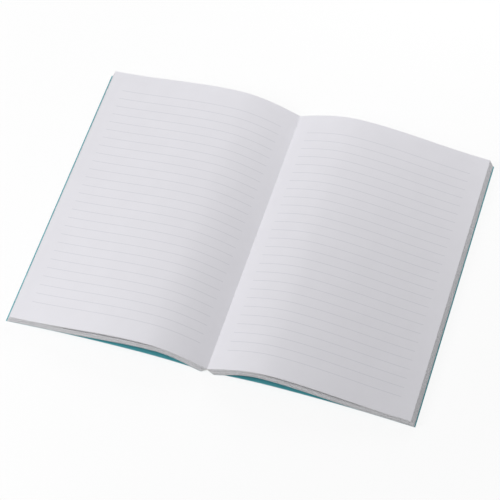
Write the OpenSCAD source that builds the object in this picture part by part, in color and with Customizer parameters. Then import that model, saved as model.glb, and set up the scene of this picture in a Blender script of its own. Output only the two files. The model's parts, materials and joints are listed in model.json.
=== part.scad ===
// Softcover notebook lying open at its middle, pages up.
// X runs from the left page to the right page, Y from the bottom edge of the pages to the top
// edge, Z up. The origin is under the gutter, halfway along it, on the surface it lies on.

/* [Sheets] */
// Width of a sheet from the spine to its fore-edge, measured along its curve
page_w = 139.7; // [110:0.1:200]
// Height of the sheets and of the cover
page_h = 215.9; // [120:0.1:320]
// Thickness of the whole stack of sheets at the spine
stack_t = 12.2; // [6:0.2:24]
// Glued root of the sheets that is left under the gutter
gutter_root_t = 0.8; // [0.4:0.1:2]
// Bundles of sheets that show as steps along each fore-edge
bundles = 14; // [2:1:40]

/* [Arch of the open pages] */
// Angle at which the pages climb out of the gutter
page_climb = 25; // [5:1:40]
// Distance of the highest line of a page from the gutter
crest_d = 43; // [25:0.5:60]
// How much thicker a half is at its highest line, where its sheets lie loose
loose_t = 0.7; // [0:0.1:2]
// Angle at which the top sheet comes down at its fore-edge
edge_fall = 3; // [0:0.5:8]
// How far the lowest sheet creeps out past the top sheet at the fore-edge
creep = 2.6; // [0.5:0.1:8]

/* [Underside of the sheets] */
// Angle at which the lowest sheet climbs off the cover beside the spine
lift_climb = 29; // [15:1:45]
// Distance from the gutter of the highest line of the lowest sheet
lift_d = 37; // [25:0.5:60]
// Height of the highest line of the lowest sheet
lift_h = 10.9; // [8:0.1:13]
// Width along the fore-edge over which the sheets lie on the cover
settle_w = 31; // [10:0.5:50]

/* [Cover] */
// Thickness of the cover card
card_t = 0.3; // [0.2:0.05:0.6]
// Tilt of each half of the spine, which folds up under the gutter
spine_tilt = 44; // [25:1:60]
// Width of the strip beside the spine that is glued to the sheets, up to the score line
strip_w = 8; // [4:0.5:12]
// Angle at which the glued strip rises from the spine
strip_rise = 22; // [5:1:30]
// Width of the groove pressed into the outer face of the card along the score line
groove_w = 0.8; // [0.4:0.1:1.6]
// Depth of that groove
groove_depth = 0.1; // [0:0.02:0.14]
// Angle at which the cover leaves the score line
cover_climb = 6; // [0:0.5:12]
// Distance of the highest line of the cover from the gutter
arch_d = 46; // [30:0.5:70]
// Height of the underside of the cover at its highest line
arch_h = 4.9; // [3.5:0.1:6]
// Angle at which the cover comes down to the table
cover_fall = 6.5; // [0:0.5:12]
// Width along the cover's fore-edge that lies flat on the table
edge_flat = 2.4; // [1:0.1:8]
// How far the cover reaches past the lowest sheet
cover_lip = 0.7; // [0:0.1:3]
// Clearance between the cover and the sheets that lie on it
seat_gap = 0.3; // [0.1:0.05:1]

/* [Smoothness] */
// Flats along each rising or falling stretch of an arch
arch_steps = 20; // [6:1:40]

/* [Hidden] */
// Outer corners of the spine card: the fold under the gutter, and the crease at each side
fold = [0, stack_t / 2 * sin(spine_tilt)];
crease = [stack_t / 2 * cos(spine_tilt), 0];
// Score line, where the glued strip ends and the cover starts to swing
score = crease + strip_w * [cos(strip_rise), sin(strip_rise)];
// Bottom of the pressed groove at the score line, and its two edges
groove = score + [0, groove_depth];
strip_groove = score - groove_w / 2 * [cos(strip_rise), sin(strip_rise)];
groove_d = score.x + groove_w / 2;
// The same three corners on the upper face of the card
fold_top = fold + [0, card_t / cos(spine_tilt)];
crease_top = crease + card_t / cos((spine_tilt + strip_rise) / 2)
    * [sin((spine_tilt - strip_rise) / 2), cos((spine_tilt - strip_rise) / 2)];
score_top = score + [0, card_t / cos(strip_rise)];

// Bottom of the gutter, where the two middle pages meet
gutter = fold_top + [0, gutter_root_t];
// Height of the top sheet at the highest line of a page and at its fore-edge
crest_h = lift_h + stack_t / 2 + loose_t;
edge_h = card_t + seat_gap + stack_t / 2;
// Fore-edge of the top sheet, as far out as its length reaches
climb_len = path_length([for (i = [0:arch_steps]) page_point(crest_d * i / arch_steps)]);
edge_d = crest_d + sqrt(pow(page_w - climb_len, 2) - pow(crest_h - edge_h, 2));
// Fore-edges of the lowest sheet and of the cover
low_edge_d = edge_d + creep;
cover_d = low_edge_d + cover_lip;
flat_d = cover_d - edge_flat;
// Where the sheets come down onto the cover
settle_d = low_edge_d - settle_w;

// Height at x of a smooth curve from one point to another with a given slope at each end
function smooth(x, from, slope_from, to, slope_to) =
    let (w = to.x - from.x, t = (x - from.x) / w)
    (2 * t * t * t - 3 * t * t + 1) * from.y + (t * t * t - 2 * t * t + t) * w * slope_from
    + (3 * t * t - 2 * t * t * t) * to.y + (t * t * t - t * t) * w * slope_to;

// Length of a path of points
function path_length(p, i = 1) =
    i < len(p) ? norm(p[i] - p[i - 1]) + path_length(p, i + 1) : 0;

// Distances between a and b in equal steps, without a and b themselves
function inner_steps(a, b, n = arch_steps) = [for (i = [1:n - 1]) a + (b - a) * i / n];

function reversed(p) = [for (i = [len(p) - 1:-1:0]) p[i]];

// The other half of an outline that is the same on both sides of the gutter
function mirrored(p) = [for (q = reversed(p)) [-q.x, q.y]];

// Upper face of the top sheet at distance d from the gutter
function page_z(d) =
    d <= crest_d ? smooth(d, gutter, tan(page_climb), [crest_d, crest_h], 0)
    : d <= edge_d ? smooth(d, [crest_d, crest_h], 0, [edge_d, edge_h], -tan(edge_fall))
    : edge_h - (d - edge_d) * tan(edge_fall);
function page_point(d) = [d, page_z(d)];

// Underside of the cover at distance d from the gutter, flat on the table at its fore-edge
function cover_z(d) =
    d <= arch_d ? smooth(d, score, tan(cover_climb), [arch_d, arch_h], 0)
    : d <= flat_d ? smooth(d, [arch_d, arch_h], 0, [flat_d, 0], -tan(cover_fall))
    : 0;

// Where the sheets lie on the cover, they keep clear of it by the seat gap
function seat_z(d) = cover_z(d) + card_t + seat_gap;
settle_slope = seat_z(settle_d + 0.5) - seat_z(settle_d - 0.5);

// Underside of the lowest sheet from the score line outwards
function under_z(d) =
    d <= lift_d ? smooth(d, score_top, tan(lift_climb), [lift_d, lift_h], 0)
    : d <= settle_d
        ? smooth(d, [lift_d, lift_h], 0, [settle_d, seat_z(settle_d)], settle_slope)
    : seat_z(d);

// Ends of the bundles of sheets, from the lowest one up: each bundle reaches less far out
function bundle_edge(i) = low_edge_d - creep * i / (bundles - 1);
function between(d, share) = under_z(d) * (1 - share) + page_z(d) * share;
fore_edge = [
    for (i = [0:bundles - 1])
        for (side = [0, 1])
            let (d = bundle_edge(i))
            [d, between(d, (i + side) / bundles)]
];

// Distances along the top sheet and the lowest sheet, without their two ends
page_steps = concat(inner_steps(0, crest_d), [crest_d], inner_steps(crest_d, edge_d, 2 * arch_steps));
under_steps = concat(
    inner_steps(score.x, lift_d), [lift_d],
    inner_steps(lift_d, settle_d, 2 * arch_steps), [settle_d],
    inner_steps(settle_d, low_edge_d)
);
cover_steps = concat(
    [groove_d], inner_steps(groove_d, arch_d), [arch_d],
    inner_steps(arch_d, flat_d, 2 * arch_steps), [flat_d, cover_d]
);

// Right half of the sheets seen from the bottom edge, from the gutter round to the spine
page_half = concat(
    [for (d = page_steps) page_point(d)],
    reversed(fore_edge),
    reversed([for (d = under_steps) [d, under_z(d)]]),
    [score_top, crease_top]
);

// Right half of the cover outside the score line, as a closed outline
cover_path = [for (d = cover_steps) [d, cover_z(d)]];
cover_half = concat([groove], cover_path, [for (q = reversed(cover_path)) q + [0, card_t]], [score + [0, card_t]]);

// Extrudes an outline seen from the bottom edge over the height of the pages
module along_spine(outline) {
    translate([0, page_h / 2, 0])
        rotate([90, 0, 0])
            linear_extrude(page_h)
                polygon(outline);
}

// All the sheets as one solid: two arched halves that meet at the gutter
module page_block() {
    color([0.9, 0.9, 0.92])
        along_spine(concat([gutter], page_half, [fold_top], mirrored(page_half)));
}

// Spine of the cover, folded up under the gutter, with the strip glued on each side of it
module cover_spine() {
    lower = [groove, strip_groove, crease];
    upper = [crease_top, score_top];
    color([0.27, 0.5, 0.53])
        along_spine(concat(lower, [fold], mirrored(lower), mirrored(upper), [fold_top], upper));
}

// The cover card on the right, under the last pages
module back_cover() {
    color([0.3, 0.55, 0.58])
        along_spine(cover_half);
}

// The cover card on the left, under the first pages
module front_cover() {
    color([0.3, 0.55, 0.58])
        along_spine(mirrored(cover_half));
}

page_block();
cover_spine();
front_cover();
back_cover();
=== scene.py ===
import json
import math

import bpy
from mathutils import Matrix, Vector


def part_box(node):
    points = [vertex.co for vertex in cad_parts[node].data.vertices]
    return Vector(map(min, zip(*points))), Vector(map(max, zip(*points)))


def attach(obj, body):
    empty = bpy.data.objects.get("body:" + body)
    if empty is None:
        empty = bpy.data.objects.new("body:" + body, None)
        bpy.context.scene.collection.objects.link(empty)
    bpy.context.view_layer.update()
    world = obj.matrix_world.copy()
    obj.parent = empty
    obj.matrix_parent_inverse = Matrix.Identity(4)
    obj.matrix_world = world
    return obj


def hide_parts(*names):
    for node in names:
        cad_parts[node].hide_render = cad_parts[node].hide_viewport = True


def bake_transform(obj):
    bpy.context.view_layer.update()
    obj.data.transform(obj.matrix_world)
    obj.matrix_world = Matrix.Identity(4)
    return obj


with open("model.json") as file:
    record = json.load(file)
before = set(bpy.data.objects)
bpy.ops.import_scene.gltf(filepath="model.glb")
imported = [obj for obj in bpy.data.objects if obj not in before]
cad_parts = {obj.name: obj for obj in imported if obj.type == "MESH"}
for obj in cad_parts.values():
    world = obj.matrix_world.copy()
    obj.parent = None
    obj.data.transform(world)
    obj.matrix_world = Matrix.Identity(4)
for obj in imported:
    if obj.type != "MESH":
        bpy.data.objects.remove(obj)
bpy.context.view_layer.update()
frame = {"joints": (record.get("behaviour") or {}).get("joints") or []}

# Spine of the cover
# The cover is one sheet of card 0.3 mm thick, pale inside and coated in teal on both faces. Its
# middle is bent at the two edges of the spine, folds up under the gutter, and is glued to the
# roots of the sheets and to a strip of the outermost sheet on each side, up to the score line.

MM = 0.001
CARD_T = 0.3 * MM
STACK_T = 12.2 * MM
SPINE_TILT = math.radians(44)
STRIP_RISE = math.radians(22)
FOLD_R = 0.5 * MM
SCORE_R = 1.5 * MM
BEND_STEPS = 6
HINGE_W = 2 * MM
HINGE_STEPS = 20
GROOVE_W = 0.9 * MM
GROOVE_DEPTH = 0.1 * MM
COVER_CLIMB = math.radians(6)
COVER_FALL = math.radians(6.5)
ARCH_D = 46 * MM
EDGE_FLAT = 2.4 * MM
FOLD_RUB = 0.5 * MM
EDGE_RUB = 0.6 * MM
FIBRE_DEPTH = 0.04 * MM
RISING_STEPS, FALLING_STEPS, FLAT_STEPS = 24, 48, 2
CARD_ROWS = 12
SHARP_ANGLE = math.radians(50)
TEAL_LIGHT = (0.085, 0.400, 0.450, 1)
TEAL_DARK = (0.075, 0.370, 0.420, 1)
WORN_TEAL = (0.30, 0.52, 0.55, 1)
CARD_CORE = (0.62, 0.68, 0.69, 1)

page_low, page_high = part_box("page_block")
cover_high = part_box("back_cover")[1]
fold_top_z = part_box("cover_spine")[1].z
score = next(Vector(j["pos_m"]) for j in frame["joints"] if j["name"] == "back_cover_hinge")
crease_x = STACK_T / 2 * math.cos(SPINE_TILT)
flat_x = cover_high.x - EDGE_FLAT
arch_z = cover_high.z - CARD_T


def smooth(x, start, start_slope, end, end_slope):
    """Height at x of a smooth curve between two points, with a given slope at each end."""
    width = end[0] - start[0]
    t = (x - start[0]) / width
    return (
        (2 * t**3 - 3 * t**2 + 1) * start[1]
        + (t**3 - 2 * t**2 + t) * width * start_slope
        + (3 * t**2 - 2 * t**3) * end[1]
        + (t**3 - t**2) * width * end_slope
    )


def cover_z(x):
    """Underside of the cover from the score line out: a low arch that comes down to the table."""
    if x <= ARCH_D:
        return smooth(x, (score.x, score.z), math.tan(COVER_CLIMB), (ARCH_D, arch_z), 0)
    if x <= flat_x:
        return smooth(x, (ARCH_D, arch_z), 0, (flat_x, 0), -math.tan(COVER_FALL))
    return 0


def slope(curve, x):
    """Slope of a curve at x."""
    return (curve(x + 0.1 * MM) - curve(x - 0.1 * MM)) / (0.2 * MM)


def cover_middle(x):
    """Point in the middle of the card's thickness, above the underside at x."""
    return Vector((x, cover_z(x))) + Vector((-slope(cover_z, x), 1)).normalized() * CARD_T / 2


def spread(start, end, count):
    """Values from start to end in equal steps, both of them included."""
    return [start + (end - start) * i / count for i in range(count + 1)]


def rounded(corners, radius):
    """A path through corners, with each bend rounded."""
    path = [corners[0]]
    for before, corner, after in zip(corners, corners[1:], corners[2:]):
        come, go = (corner - before).normalized(), (after - corner).normalized()
        reach = radius * math.tan(come.angle(go) / 2)
        start, end = corner - come * reach, corner + go * reach
        path += [
            start * (1 - t) ** 2 + corner * 2 * t * (1 - t) + end * t**2
            for t in spread(0, 1, BEND_STEPS)
        ]
    return path + [corners[-1]]


def evenly(path, count):
    """The same path with its points at equal distances."""
    gone = [0]
    for a, b in zip(path, path[1:]):
        gone.append(gone[-1] + (b - a).length)
    points, i = [], 0
    for target in spread(0, gone[-1], count)[:-1]:
        while gone[i + 1] < target:
            i += 1
        points.append(path[i].lerp(path[i + 1], (target - gone[i]) / (gone[i + 1] - gone[i])))
    return points + [path[-1]]


# Right half of the card's middle line: the fold, the crease, the glued strip, the hinge, the cover
half_bend = (SPINE_TILT + STRIP_RISE) / 2
lean = (SPINE_TILT - STRIP_RISE) / 2
crease_up = Vector((math.sin(lean), math.cos(lean))) * CARD_T / math.cos(half_bend)
crease = Vector((crease_x, 0))
fold_middle = Vector((0, fold_top_z - CARD_T / 2 / math.cos(SPINE_TILT)))
strip_way = Vector((math.cos(STRIP_RISE), math.sin(STRIP_RISE)))
score_middle = Vector((score.x, score.z)) + Vector((-strip_way.y, strip_way.x)) * CARD_T / 2
crease_middle = crease + crease_up / 2
mirrored_crease = Vector((-crease_middle.x, crease_middle.y))
strip_end = score_middle - strip_way * HINGE_W / 2
panel_start = cover_middle(score.x + HINGE_W / 2 * math.cos(COVER_CLIMB))

spine_line = rounded([mirrored_crease, fold_middle, crease_middle, strip_end], FOLD_R)
spine_half = [p for p in spine_line if p.x > -0.01 * MM]
hinge = evenly(rounded([strip_end, score_middle, panel_start], SCORE_R), HINGE_STEPS)
panel = [cover_middle(x) for x in spread(panel_start.x, ARCH_D, RISING_STEPS)]
panel += [cover_middle(x) for x in spread(ARCH_D, flat_x, FALLING_STEPS)[1:]]
panel += [Vector((x, CARD_T / 2)) for x in spread(flat_x, cover_high.x, FLAT_STEPS)[1:]]
half = spine_half + hinge[1:] + panel[1:]
middle = [Vector((-p.x, p.y)) for p in half[:0:-1]] + half
at_fold = len(half) - 1
at_strip_end = len(spine_half) - 1
at_panel = at_strip_end + HINGE_STEPS

across = []
for i in range(len(middle)):
    way = middle[min(i + 1, len(middle) - 1)] - middle[max(i - 1, 0)]
    across.append(Vector((-way.y, way.x)).normalized())


def groove(i):
    """Depth of the groove pressed into the outer face of the card along each score line."""
    away = abs(abs(i - at_fold) - (at_strip_end + at_panel) / 2) * HINGE_W / HINGE_STEPS
    return GROOVE_DEPTH * math.cos(min(away / GROOVE_W, 1) * math.pi / 2) ** 2


class Tree:
    """A node tree that is built one node to a call; each call returns the node's output."""

    def __init__(self, tree):
        self.nodes = tree.nodes
        self.links = tree.links

    def join(self, value, socket):
        """Links an output to an input, or sets the input to a plain value."""
        if isinstance(value, bpy.types.NodeSocket):
            self.links.new(value, socket)
        elif value is not None:
            socket.default_value = value

    def add(self, kind, *values, **settings):
        """A node with its settings, and its inputs filled in from the first on."""
        node = self.nodes.new(kind)
        for key, value in settings.items():
            setattr(node, key, value)
        sockets = [s for s in node.inputs if s.enabled and not s.is_unavailable]
        for socket, value in zip(sockets, values):
            self.join(value, socket)
        return next(s for s in node.outputs if s.enabled and not s.is_unavailable)

    def maths(self, operation, *values):
        """One step of arithmetic."""
        return self.add("ShaderNodeMath", *values, operation=operation)

    def product(self, *values):
        """All the values multiplied."""
        total = values[0]
        for value in values[1:]:
            total = self.maths("MULTIPLY", total, value)
        return total

    def ramp(self, value, low, high, start=0.0, end=1.0):
        """Goes smoothly from start to end while the value goes from low to high."""
        return self.add(
            "ShaderNodeMapRange", value, low, high, start, end, interpolation_type="SMOOTHSTEP"
        )

    def noise(self, place, scale, detail, roughness):
        """An uneven pattern from 0 to 1, with the scale in spots per metre."""
        return self.add("ShaderNodeTexNoise", place, scale, detail, roughness)

    def xyz(self, vector):
        """The three parts of a vector."""
        node = self.nodes.new("ShaderNodeSeparateXYZ")
        self.links.new(vector, node.inputs[0])
        return node.outputs

    def mix(self, kind, factor, first, second):
        """The first of two colours or vectors at factor 0, the second at 1."""
        node = self.nodes.new("ShaderNodeMix")
        node.data_type = kind
        for name, value in (("Factor", factor), ("A", first), ("B", second)):
            self.join(value, next(s for s in node.inputs if s.name == name and s.enabled))
        return next(s for s in node.outputs if s.enabled)


def finish_tree(name, roughness, specular):
    """An empty material: its tree, its shader, and the place on the object."""
    material = bpy.data.materials.new(name)
    material.use_nodes = True
    material.node_tree.nodes.clear()
    tree = Tree(material.node_tree)
    shader = tree.nodes.new("ShaderNodeBsdfPrincipled")
    shader.inputs["Specular IOR Level"].default_value = specular
    shader.inputs["Roughness"].default_value = roughness
    output = tree.nodes.new("ShaderNodeOutputMaterial")
    tree.links.new(shader.outputs[0], output.inputs["Surface"])
    place = tree.nodes.new("ShaderNodeTexCoord").outputs["Object"]
    return material, tree, shader, place


def toned(colour, share):
    """A colour at a share of its brightness."""
    return tuple(min(1, c * share) for c in colour[:3]) + (1,)


def emboss(tree, shader, height, strength, distance):
    """Lets a pattern raise and lower the surface."""
    bump = tree.nodes.new("ShaderNodeBump")
    bump.inputs["Strength"].default_value = strength
    bump.inputs["Distance"].default_value = distance
    tree.links.new(height, bump.inputs["Height"])
    tree.links.new(bump.outputs[0], shader.inputs["Normal"])


def teal_coating():
    """Matte teal on card: cloudy, with fibres under it, and rubbed along folds and edges."""
    material, tree, shader, place = finish_tree("teal_card", roughness=0.5, specular=0.4)
    cloud = tree.noise(place, 55.0, 4.0, 0.6)
    tone = tree.mix("RGBA", tree.ramp(cloud, 0.35, 0.65), TEAL_DARK, TEAL_LIGHT)
    spot = tree.xyz(place)
    x, y = tree.maths("ABSOLUTE", spot["X"]), tree.maths("ABSOLUTE", spot["Y"])
    rub = 0.0
    for value, line, width in (
        (x, 0.0, FOLD_RUB),
        (x, crease_x, EDGE_RUB),
        (x, score.x, FOLD_RUB),
        (x, cover_high.x, EDGE_RUB),
        (y, page_high.y, EDGE_RUB),
    ):
        away = tree.maths("ABSOLUTE", tree.maths("SUBTRACT", value, line))
        rub = tree.maths("MAXIMUM", rub, tree.ramp(away, 0.0, width, 1.0, 0.0))
    patch = tree.ramp(tree.noise(place, 420.0, 3.0, 0.7), 0.5, 0.75)
    worn = tree.mix("RGBA", tree.product(rub, patch, 0.5), tone, WORN_TEAL)
    tree.join(worn, shader.inputs["Base Color"])
    tree.join(tree.ramp(cloud, 0.3, 0.7, 0.46, 0.58), shader.inputs["Roughness"])
    emboss(tree, shader, tree.noise(place, 1500.0, 4.0, 0.65), 0.25, FIBRE_DEPTH)
    return material


def card_core():
    """Cut edge of the card: its pale, fine-grained inside."""
    material, tree, shader, place = finish_tree("card_core", roughness=0.9, specular=0.2)
    grain = tree.noise(place, 3200.0, 2.0, 0.6)
    tree.join(
        tree.mix("RGBA", grain, CARD_CORE, toned(CARD_CORE, 1.12)), shader.inputs["Base Color"]
    )
    return material


teal = teal_coating()
core = card_core()


def show(name, data):
    """A mesh, curve, lamp or camera as an object of the scene."""
    made = bpy.data.objects.new(name, data)
    bpy.context.collection.objects.link(made)
    return made


def piece(name, verts, faces, *materials):
    """An object from its corners and faces, all in the first material."""
    mesh = bpy.data.meshes.new(name)
    mesh.from_pydata(verts, [], faces)
    for material in materials:
        mesh.materials.append(material)
    return show(name, mesh)


def card(name, first, last):
    """A stretch of the cover card between two points of its middle line, with its cut edges."""
    lower, upper = [], []
    for i in range(first, last + 1):
        lower.append(middle[i] - across[i] * (CARD_T / 2 - groove(i)))
        upper.append(middle[i] + across[i] * CARD_T / 2)
    outline = lower + upper[::-1]
    count = len(outline)
    verts = [(p.x, y, p.y) for y in spread(page_low.y, page_high.y, CARD_ROWS) for p in outline]
    faces, cut = [], []
    for row in range(CARD_ROWS):
        near, far = row * count, (row + 1) * count
        for i in range(count):
            j = (i + 1) % count
            faces.append((near + i, far + i, far + j, near + j))
            cut.append(i in (len(lower) - 1, count - 1))
    top = CARD_ROWS * count
    for i in range(len(lower) - 1):
        faces.append((i, i + 1, count - 2 - i, count - 1 - i))
        faces.append((top + i, top + count - 1 - i, top + count - 2 - i, top + i + 1))
        cut += [True, True]
    made = piece(name, verts, faces, teal, core)
    made.data.polygons.foreach_set("material_index", [int(c) for c in cut])
    made.data.shade_smooth()
    made.data.set_sharp_from_angle(angle=SHARP_ANGLE)
    return made


spine_card = card("spine_card", at_fold - at_strip_end, at_fold + at_strip_end)
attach(spine_card, "sheets_and_spine")
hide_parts("cover_spine")

# Front and back cover
# The two large panels of the same sheet of card. They are loose from the sheets, bow up a little
# from the score line, and lie flat on the table along their fore-edge.

front_panel = card("front_panel", 0, at_fold - at_panel)
back_panel = card("back_panel", at_fold + at_panel, len(middle) - 1)
for cover, body in ((front_panel, "front"), (back_panel, "back")):
    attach(cover, body)
    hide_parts(body + "_cover")

# Score lines
# A narrow stretch of the card on each side, where a groove pressed into its outer face makes the
# cover bend there. It carries on from the glued strip into the panel.

for name, body, side, first in (
    ("front_score", "front", -1, at_fold - at_panel),
    ("back_score", "back", 1, at_fold + at_strip_end),
):
    bend = card(name, first, first + HINGE_STEPS)
    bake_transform(bend)

# Spine glue
# A thin wedge of pale hot glue that fills the fold of the spine and holds the roots of the sheets.

ROOT_T = 0.8 * MM
GLUED_W = 3.9 * MM
GLUE_DEPTH = 0.08 * MM
GLUE = (0.70, 0.69, 0.66, 1)
gutter_z = fold_top_z + ROOT_T
crease_top = crease + crease_up


def glue_finish():
    """Cloudy, slightly glossy glue."""
    material, tree, shader, place = finish_tree("spine_glue", roughness=0.45, specular=0.5)
    cloud = tree.noise(place, 300.0, 3.0, 0.5)
    tree.join(tree.mix("RGBA", cloud, toned(GLUE, 0.85), GLUE), shader.inputs["Base Color"])
    emboss(tree, shader, cloud, 0.4, GLUE_DEPTH)
    return material


outline = [(crease_top.x, crease_top.y), (0, gutter_z), (-crease_top.x, crease_top.y)]
outline += [tuple(p + up * CARD_T / 2) for p, up in zip(middle, across) if abs(p.x) < GLUED_W]
count = len(outline)
verts = [(x, y, z) for y in (page_low.y, page_high.y) for x, z in outline]
faces = [(i, i + count, (i + 1) % count + count, (i + 1) % count) for i in range(count)]
faces += [tuple(range(count)), tuple(range(2 * count - 1, count - 1, -1))]
glue = piece("spine_glue", verts, faces, glue_finish())
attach(glue, "sheets_and_spine")

# Sheets
# About 120 sheets of white writing paper with faint grey ruling, trimmed to one size and glued at
# the spine. Open at the middle, each half arches up out of the gutter and comes down on its
# cover, each sheet ends a little further out than the one above it, and the top few lift a hair.

PAGE_CLIMB = math.radians(25)
EDGE_FALL = math.radians(3)
LIFT_CLIMB = math.radians(29)
CREST_D = 43 * MM
LIFT_D = 37 * MM
LIFT_H = 10.9 * MM
SETTLE_W = 31 * MM
CREEP = 2.6 * MM
SEAT_GAP = 0.3 * MM
SEEN_GAP = 0.05 * MM

LINES = 27
FIRST_LINE = 15.2 * MM
LINE_PITCH = 7.11 * MM
LINE_W = 0.34 * MM
RULED_FROM = 9.3 * MM
RULED_TO = 126.5 * MM
# Painted shade in the gaps between sheets: how far it reaches, and how light the darkest gap stays
PAINTED_SHADE_REACH = 2.0 * MM
PAINTED_GAP_BRIGHTNESS = 0.1
GRAIN_DEPTH = 0.04 * MM
PAPER = (0.800, 0.792, 0.835, 1)
CUT_PAPER = (0.810, 0.806, 0.827, 1)
INK = (0.64, 0.64, 0.69, 1)

SHEETS = 60
STATIONS = 81
TRIM = 0.1 * MM
SPINE_SLIP = 0.05 * MM
# The next slip is a share of a sheet's length, and the lift a share of the height of the stack
EDGE_SLIP = 0.0006
LIFTED_SHEETS = 10
LIFT = 0.17
CUT_EDGE_ANGLE = 0.6

page_h = page_high.y - page_low.y
crest_z = page_high.z
low_edge_x = page_high.x
edge_x = low_edge_x - CREEP
edge_z = CARD_T + SEAT_GAP + STACK_T / 2
settle_x = low_edge_x - SETTLE_W


def page_z(x):
    """Upper face of the top sheet."""
    if x <= CREST_D:
        return smooth(x, (0, gutter_z), math.tan(PAGE_CLIMB), (CREST_D, crest_z), 0)
    return smooth(x, (CREST_D, crest_z), 0, (edge_x, edge_z), -math.tan(EDGE_FALL))


def seat_z(x):
    """Upper face of the cover, with a hair of room under the sheets."""
    return cover_z(x) + CARD_T + SEEN_GAP


def under_z(x):
    """Underside of the lowest sheet outside the score line."""
    if x > settle_x:
        return seat_z(x)
    if x > LIFT_D:
        return smooth(x, (LIFT_D, LIFT_H), 0, (settle_x, seat_z(settle_x)), slope(seat_z, settle_x))
    start = (score.x, score.z + CARD_T / math.cos(STRIP_RISE))
    return smooth(x, start, math.tan(LIFT_CLIMB), (LIFT_D, LIFT_H), 0)


def guide(name, points):
    """A line seen from the bottom edge of the pages, which the sheets follow."""
    curve = bpy.data.curves.new(name, "CURVE")
    curve.dimensions = "3D"
    spline = curve.splines.new("POLY")
    spline.points.add(len(points) - 1)
    for point, (x, z) in zip(spline.points, points):
        point.co = (x, 0, z, 1)
    return show(name, curve)


top_line = [(x, page_z(x)) for x in spread(0, CREST_D, 60)[:-1] + spread(CREST_D, edge_x, 90)]
low_line = [tuple(crease_top)]
low_line += [(x, under_z(x)) for x in spread(score.x, settle_x, 90)[:-1]]
low_line += [(x, under_z(x)) for x in spread(settle_x, low_edge_x, 30)]
top_guide = guide("top_guide", top_line)
low_guide = guide("low_guide", low_line)


def painted_gap_shade(tree):
    """Painted shade: how light the paper stays, 1 in the open and less in the narrow gap under
    another sheet, where an ambient occlusion node finds it close.
    """
    occlusion = tree.nodes.new("ShaderNodeAmbientOcclusion")
    occlusion.samples = 8
    occlusion.only_local = True
    occlusion.inputs["Distance"].default_value = PAINTED_SHADE_REACH
    return tree.ramp(occlusion.outputs["AO"], 0.3, 0.8, PAINTED_GAP_BRIGHTNESS, 1.0)


def ruled_paper():
    """White uncoated paper with faint grey lines, paler in spots where the ink ran thin, and with
    shade painted into its colour in the narrow gaps between sheets.
    """
    material, tree, shader, place = finish_tree("ruled_paper", roughness=0.86, specular=0.25)
    spot = tree.xyz(place)
    x = tree.maths("ABSOLUTE", spot["X"])
    y = tree.maths("SUBTRACT", spot["Y"], page_low.y + FIRST_LINE)
    away = tree.maths("PINGPONG", y, LINE_PITCH / 2)
    line = tree.ramp(away, LINE_W * 0.3, LINE_W * 0.7, 1.0, 0.0)
    printed = tree.product(
        line,
        tree.maths("GREATER_THAN", x, RULED_FROM), tree.maths("LESS_THAN", x, RULED_TO),
        tree.maths("GREATER_THAN", y, -LINE_PITCH / 2),
        tree.maths("LESS_THAN", y, LINE_PITCH * (LINES - 0.5)),
        tree.ramp(tree.noise(place, 260.0, 3.0, 0.7), 0.2, 0.6, 0.75, 1.0),
    )
    cloud = tree.ramp(tree.noise(place, 70.0, 3.0, 0.6), 0.3, 0.7)
    paper = tree.mix("RGBA", cloud, toned(PAPER, 0.985), PAPER)
    ruled = tree.mix("RGBA", printed, paper, INK)
    # Painted shade: the paper's colour goes towards black in the narrow gaps between sheets
    tree.join(
        tree.mix("RGBA", painted_gap_shade(tree), (0, 0, 0, 1), ruled), shader.inputs["Base Color"]
    )
    grain = tree.noise(place, 2400.0, 3.0, 0.6)
    tree.join(tree.ramp(grain, 0.3, 0.7, 0.82, 0.92), shader.inputs["Roughness"])
    emboss(tree, shader, grain, 0.15, GRAIN_DEPTH)
    return material


def cut_paper():
    """Trimmed edges of the sheets, each sheet a touch lighter or darker than the next."""
    material, tree, shader, place = finish_tree("cut_paper", roughness=0.95, specular=0.15)
    tone = tree.nodes.new("ShaderNodeAttribute")
    tone.attribute_name = "tone"
    scuff = tree.noise(place, 900.0, 3.0, 0.7)
    share = tree.maths("MULTIPLY_ADD", tone.outputs["Fac"], 0.6, tree.product(scuff, 0.4))
    tree.join(
        tree.mix("RGBA", share, toned(CUT_PAPER, 0.9), CUT_PAPER), shader.inputs["Base Color"]
    )
    return material


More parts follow.
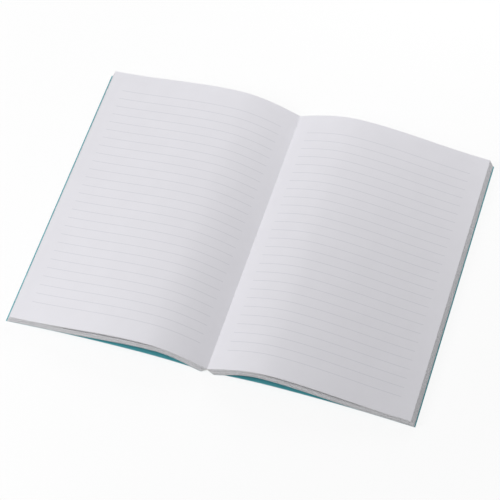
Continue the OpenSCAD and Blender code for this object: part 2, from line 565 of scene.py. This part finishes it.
def sheet_stack():
    """Geometry Nodes: two halves of sheets, each sheet a thin block laid between the two guides."""
    group = bpy.data.node_groups.new("sheet_stack", "GeometryNodeTree")
    face = group.interface
    face.new_socket("Sheets", in_out="OUTPUT", socket_type="NodeSocketGeometry")
    for name, kind in (
        ("Lowest sheet", "Object"), ("Top sheet", "Object"), ("Sheets in a half", "Int"),
        ("Stations along a sheet", "Int"), ("Height of a sheet", "Float"),
        ("Slip along the spine", "Float"), ("Slip at the fore-edge", "Float"),
        ("Lifted sheets", "Int"), ("Lift", "Float"), ("Seed", "Int"),
        ("Page", "Material"), ("Cut edge", "Material"),
    ):
        face.new_socket(name, in_out="INPUT", socket_type="NodeSocket" + kind)
    tree = Tree(group)
    given = group.nodes.new("NodeGroupInput").outputs
    sheets = given["Sheets in a half"]

    def store(geometry, name, value, domain, kind="FLOAT"):
        """The geometry with a named value kept on it."""
        return tree.add(
            "GeometryNodeStoreNamedAttribute", geometry, None, name, value,
            data_type=kind, domain=domain,
        )

    def chance(low, high, offset):
        """A random value for each sheet."""
        seed = tree.maths("ADD", given["Seed"], offset)
        return tree.add("FunctionNodeRandomValue", low, high, index, seed, data_type="FLOAT")

    def stored(name, kind="FLOAT"):
        """A value kept on the geometry."""
        return tree.add("GeometryNodeInputNamedAttribute", name, data_type=kind)

    # One block for each sheet, numbered from the lowest up, right of the gutter and then left of it
    index = tree.add("GeometryNodeInputIndex")
    left = tree.maths("GREATER_THAN", index, tree.maths("SUBTRACT", sheets, 0.5))
    number = tree.maths("SUBTRACT", index, tree.product(left, sheets))
    block = tree.add("GeometryNodeMeshCube", (1.0, 1.0, 1.0), given["Stations along a sheet"], 2, 2)
    block = store(block, "block", tree.add("GeometryNodeInputPosition"), "POINT", "FLOAT_VECTOR")
    points = tree.add("GeometryNodeMeshLine", tree.product(sheets, 2.0), mode="OFFSET")
    laid = tree.add("GeometryNodeInstanceOnPoints", points, None, block)
    for name, value in (
        ("number", number), ("left", left),
        ("fill", chance(0.82, 0.98, 0)), ("slip", chance(-1.0, 1.0, 1)),
        ("short", chance(0.0, 1.0, 2)), ("tone", chance(0.0, 1.0, 3)),
    ):
        laid = store(laid, name, value, "INSTANCE")
    solid = tree.add("GeometryNodeRealizeInstances", laid)

    # Where each corner goes: along both guides, and between them by the number of its sheet
    corner = tree.xyz(stored("block", "FLOAT_VECTOR"))
    along = tree.maths("ADD", corner["X"], 0.5)
    cut_off = tree.product(stored("short"), given["Slip at the fore-edge"])
    reach = tree.maths("SUBTRACT", 1.0, cut_off)
    ways = []
    for name in ("Lowest sheet", "Top sheet"):
        info = tree.nodes.new("GeometryNodeObjectInfo")
        tree.join(given[name], info.inputs["Object"])
        sample = tree.nodes.new("GeometryNodeSampleCurve")
        sample.mode = "FACTOR"
        tree.join(info.outputs["Geometry"], sample.inputs["Curves"])
        tree.join(tree.product(along, reach), sample.inputs["Factor"])
        ways.append(sample.outputs["Position"])
    level = tree.product(tree.maths("ADD", corner["Z"], 0.5), stored("fill"))
    share = tree.maths("DIVIDE", tree.maths("ADD", stored("number"), level), sheets)

    # The sheets under the lifted ones sink away from them, most at the top of the arch
    lifted = tree.maths("ADD", given["Lifted sheets"], 0.5)
    held = tree.maths("LESS_THAN", stored("number"), tree.maths("SUBTRACT", sheets, lifted))
    crown = tree.product(tree.ramp(along, 0.2, 0.38), tree.ramp(along, 0.6, 0.88, 1.0, 0.0))
    sunk = tree.product(held, crown, given["Lift"])
    share = tree.product(share, tree.maths("SUBTRACT", 1.0, sunk))
    spot = tree.xyz(tree.mix("VECTOR", share, *ways))
    side = tree.maths("SUBTRACT", 1.0, tree.product(stored("left"), 2.0))
    y = tree.maths(
        "MULTIPLY_ADD", stored("slip"), given["Slip along the spine"],
        tree.product(corner["Y"], given["Height of a sheet"]),
    )
    final = tree.add("ShaderNodeCombineXYZ", tree.product(spot["X"], side), y, spot["Z"])
    solid = tree.add("GeometryNodeSetPosition", solid, None, final)
    turned = tree.maths("GREATER_THAN", stored("left"), 0.5)
    solid = tree.add("GeometryNodeFlipFaces", solid, turned)

    # Sharp cut edges, and a material of their own for the cut faces
    sharp = tree.maths("GREATER_THAN", tree.add("GeometryNodeInputMeshEdgeAngle"), CUT_EDGE_ANGLE)
    solid = tree.add("GeometryNodeSetShadeSmooth", solid, sharp, False, domain="EDGE")
    for name in ("block", "number", "left", "fill", "slip", "short"):
        solid = tree.add("GeometryNodeRemoveAttribute", solid, name)
    flatness = tree.maths("ABSOLUTE", tree.xyz(tree.add("GeometryNodeInputNormal"))["Z"])
    trimmed = tree.maths("LESS_THAN", flatness, 0.5)
    solid = tree.add("GeometryNodeSetMaterial", solid, None, given["Page"])
    solid = tree.add("GeometryNodeSetMaterial", solid, trimmed, given["Cut edge"])
    tree.join(solid, group.nodes.new("NodeGroupOutput").inputs[0])
    return group


sheet_settings = {
    "Lowest sheet": low_guide,
    "Top sheet": top_guide,
    "Sheets in a half": SHEETS,
    "Stations along a sheet": STATIONS,
    "Height of a sheet": page_h - TRIM,
    "Slip along the spine": SPINE_SLIP,
    "Slip at the fore-edge": EDGE_SLIP,
    "Lifted sheets": LIFTED_SHEETS,
    "Lift": LIFT,
    "Seed": 7,
    "Page": ruled_paper(),
    "Cut edge": cut_paper(),
}
holder = show("sheet_holder", bpy.data.meshes.new("sheet_holder"))
stack = holder.modifiers.new("stack", "NODES")
stack.node_group = sheet_stack()
for socket in stack.node_group.interface.items_tree:
    if socket.in_out == "INPUT":
        stack[socket.identifier] = sheet_settings[socket.name]
laid = holder.evaluated_get(bpy.context.evaluated_depsgraph_get())
sheets = show("sheets", bpy.data.meshes.new_from_object(laid))
sheets.data.name = "sheets"
for helper in (holder, top_guide, low_guide):
    bpy.data.objects.remove(helper)
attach(sheets, "sheets_and_spine")
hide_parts("page_block")

# Table
# A plain white table top. Light meets it as white paint, and it glows a little for everything but
# the camera, a painted bounce light, while the camera sees mostly the white room through it, with
# the notebook's faint shadow, and so also a cover that hangs below it.

TABLE_HALF = 6.0
TABLE = (0.95, 0.95, 0.95, 1)
TABLE_DROP = 0.03 * MM
CLEAR_SHARE = 0.88
PAINTED_BOUNCE = 0.3
SHADOW_R = 0.18
WHITE_R = 0.42


def sees_background(tree):
    """1 for rays from the camera, from gloss and through glass, and 0 for the light on things."""
    rays = tree.nodes.new("ShaderNodeLightPath").outputs
    other = tree.maths("MAXIMUM", rays["Is Glossy Ray"], rays["Is Transmission Ray"])
    return tree.maths("MAXIMUM", rays["Is Camera Ray"], other)


def table_top():
    """Matte white paint with a painted glow of bounce light that the camera doesn't see, clearer to
    the camera the further it is from the notebook.
    """
    material, tree, shader, place = finish_tree("white_table", roughness=1.0, specular=0.0)
    shader.inputs["Base Color"].default_value = TABLE
    clear = tree.nodes.new("ShaderNodeBsdfTransparent")
    away = tree.add("ShaderNodeVectorMath", place, operation="LENGTH")
    clearness = tree.ramp(away, SHADOW_R, WHITE_R, CLEAR_SHARE, 1.0)
    seen_from_above = tree.product(sees_background(tree), clearness)
    below = tree.nodes.new("ShaderNodeNewGeometry").outputs["Backfacing"]
    share = tree.maths("MAXIMUM", seen_from_above, below)
    # Painted bounce light: the table glows in its own colour for every ray but the camera's
    painted_bounce_strength = tree.product(tree.maths("SUBTRACT", 1.0, sees_background(tree)), PAINTED_BOUNCE)
    painted_bounce_light = tree.add("ShaderNodeEmission", TABLE, painted_bounce_strength)
    paint = tree.add("ShaderNodeAddShader", shader.outputs[0], painted_bounce_light)
    both = tree.add("ShaderNodeMixShader", share, paint, clear.outputs[0])
    output = next(n for n in tree.nodes if n.type == "OUTPUT_MATERIAL")
    tree.join(both, output.inputs["Surface"])
    return material


corners = [(-1, -1), (1, -1), (1, 1), (-1, 1)]
corners = [(x * TABLE_HALF, y * TABLE_HALF, -TABLE_DROP) for x, y in corners]
piece("table_top", corners, [(0, 1, 2, 3)], table_top())

# Light and camera
# A soft lamp on the left, a weaker one beyond the top edge of the pages, and even light from all
# round. The camera stands in front and a little right, well above the table.

AMBIENT = 0.34
LAMPS = (
    ("main_lamp", (-0.5, -0.3, 0.5), 0.4, 3.0),
    ("far_lamp", (0.1, 0.5, 0.3), 0.4, 1.6),
)
AIM = Vector((-1.7, -7.1, 0)) * MM
DISTANCE = 1507.2 * MM
AZIMUTH = math.radians(17.756)
ELEVATION = math.radians(56.092)
ROLL = math.radians(-0.855)
LENS = 160.2
SENSOR_W = 36

world = bpy.data.worlds.new("studio")
bpy.context.scene.world = world
world.use_nodes = True
tree = Tree(world.node_tree)
background = next(n for n in tree.nodes if n.type == "BACKGROUND")
background.inputs["Color"].default_value = (1, 1, 1, 1)
tree.join(tree.ramp(sees_background(tree), 0.0, 1.0, AMBIENT, 1.0), background.inputs["Strength"])

for name, at, size, energy in LAMPS:
    data = bpy.data.lights.new(name, "AREA")
    data.shape = "DISK"
    data.size = size
    data.energy = energy
    lamp = show(name, data)
    lamp.location = at
    lamp.rotation_euler = (-Vector(at)).to_track_quat("-Z", "Y").to_euler()

data = bpy.data.cameras.new("camera")
data.lens = LENS
data.sensor_width = SENSOR_W
camera = show("camera", data)
away = Vector((
    math.sin(AZIMUTH) * math.cos(ELEVATION),
    -math.cos(AZIMUTH) * math.cos(ELEVATION),
    math.sin(ELEVATION),
))
camera.location = AIM + away * DISTANCE
turn = (-away).to_track_quat("-Z", "Y").to_matrix().to_4x4() @ Matrix.Rotation(ROLL, 4, "Z")
camera.rotation_euler = turn.to_euler()
bpy.context.scene.camera = camera
bpy.context.scene.view_settings.view_transform = "Standard"
